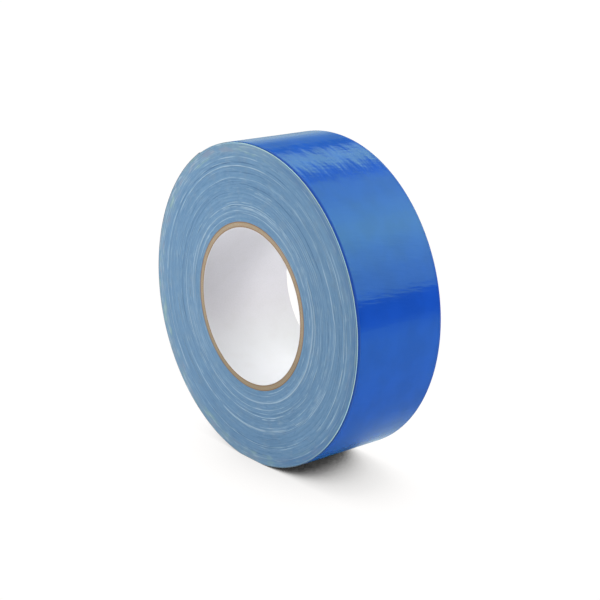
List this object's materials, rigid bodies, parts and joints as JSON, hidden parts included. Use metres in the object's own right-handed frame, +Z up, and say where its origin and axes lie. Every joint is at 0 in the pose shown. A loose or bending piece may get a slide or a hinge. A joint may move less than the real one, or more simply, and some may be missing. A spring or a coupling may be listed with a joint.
{
  "type": "adhesive tape roll",
  "caption": "Roll of glossy blue cloth-backed adhesive tape on a kraft paper core, standing on its edge, with a free end that peels.",
  "frame": {"origin": "on the floor under the roll, in the middle of the core's length", "axes": "+Y along the roll's axis, away from the side that is flush with the core; +Z up; +X towards the side of the roll that has no free end"},
  "size_m": [0.1578, 0.0524, 0.1572],
  "materials": {
    "tape": "glossy blue film outside, matte pale blue-grey on the cut sides",
    "liner": "smooth white paper",
    "kraft": "raw kraft board"
  },
  "bodies": {
    "roll": {"wound_tape": "tape", "core_liner": "liner", "core_ply_inner": "kraft", "core_ply_second": "kraft", "core_ply_third": "kraft", "core_ply_outer": "kraft"},
    "end_1": {"tape_end_1": "tape"},
    "end_2": {"tape_end_2": "tape"},
    "end_3": {"tape_end_3": "tape"},
    "end_4": {"tape_end_4": "tape"},
    "end_5": {"tape_end_5": "tape"},
    "end_6": {"tape_end_6": "tape"}
  },
  "joints": [
    {"name": "peel_root", "type": "hinge", "parent": "roll", "child": "end_1", "pos_m": [-0.07838, 0, 0.08667], "axis": [0, -1, 0], "range_deg": [0, 18]},
    {"name": "peel_follow_2", "type": "hinge", "parent": "end_1", "child": "end_2", "pos_m": [-0.07614, 0, 0.09883], "axis": [0, -1, 0], "range_deg": [0, 18]},
    {"name": "peel_follow_3", "type": "hinge", "parent": "end_2", "child": "end_3", "pos_m": [-0.07201, 0, 0.11049], "axis": [0, -1, 0], "range_deg": [0, 18]},
    {"name": "peel_follow_4", "type": "hinge", "parent": "end_3", "child": "end_4", "pos_m": [-0.06612, 0, 0.12137], "axis": [0, -1, 0], "range_deg": [0, 18]},
    {"name": "peel_follow_5", "type": "hinge", "parent": "end_4", "child": "end_5", "pos_m": [-0.05859, 0, 0.13119], "axis": [0, -1, 0], "range_deg": [0, 18]},
    {"name": "peel_follow_6", "type": "hinge", "parent": "end_5", "child": "end_6", "pos_m": [-0.04962, 0, 0.13971], "axis": [0, -1, 0], "range_deg": [0, 18]}
  ],
  "couplings": [
    {"joint": "peel_follow_2", "follows": "peel_root", "ratio": 1},
    {"joint": "peel_follow_3", "follows": "peel_root", "ratio": 1},
    {"joint": "peel_follow_4", "follows": "peel_root", "ratio": 1},
    {"joint": "peel_follow_5", "follows": "peel_root", "ratio": 1},
    {"joint": "peel_follow_6", "follows": "peel_root", "ratio": 1}
  ]
}
